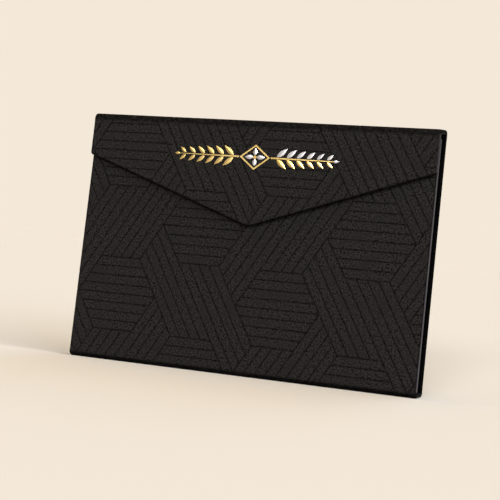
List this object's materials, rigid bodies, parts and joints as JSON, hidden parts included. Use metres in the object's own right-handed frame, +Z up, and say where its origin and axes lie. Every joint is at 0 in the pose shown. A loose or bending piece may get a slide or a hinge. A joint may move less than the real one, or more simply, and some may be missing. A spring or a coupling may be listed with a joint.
{
  "type": "paper card holder",
  "caption": "Slim paper-covered card holder that stands on its bottom panel, with folded side gussets, an open card pocket and a pointed flap that folds over the front.",
  "frame": {"origin": "centre of the bounding box in X and Y, on the surface that the holder stands on", "axes": "+X along the width, to the right as seen from the front; +Y from the front (flap side) to the back; +Z up from the bottom panel to the top folds"},
  "size_m": [0.105, 0.0134, 0.076],
  "materials": {
    "embossed_paper": "matt black fine-grained paper, embossed with a geometric pattern of fine lines, with a small stamped foil ornament on the flap",
    "grey_board": "smooth grey bookbinding board",
    "lining_paper": "smooth uncoated black paper",
    "gusset_paper": "thin black paper, softly creased",
    "disc_metal": "nickel-plated, satin"
  },
  "bodies": {
    "case": {"front_board": "grey_board", "front_cover": "embossed_paper", "front_liner": "lining_paper", "front_steel_disc": "disc_metal", "bottom_board": "grey_board", "bottom_cover": "embossed_paper", "bottom_liner": "lining_paper", "back_board": "grey_board", "back_cover": "embossed_paper", "back_liner": "lining_paper", "left_gusset": "gusset_paper", "right_gusset": "gusset_paper"},
    "spine": {"spine_board": "grey_board", "spine_cover": "embossed_paper", "spine_liner": "lining_paper"},
    "flap": {"flap_board": "grey_board", "flap_cover": "embossed_paper", "flap_liner": "lining_paper", "flap_magnet": "disc_metal"}
  },
  "joints": [
    {"name": "back_fold", "type": "hinge", "parent": "case", "child": "spine", "pos_m": [0, 0.0051, 0.0744], "axis": [-1, 0, 0], "range_deg": [0, 120]},
    {"name": "front_fold", "type": "hinge", "parent": "spine", "child": "flap", "pos_m": [0, -0.0051, 0.0724], "axis": [-1, 0, 0], "range_deg": [0, 90]}
  ]
}
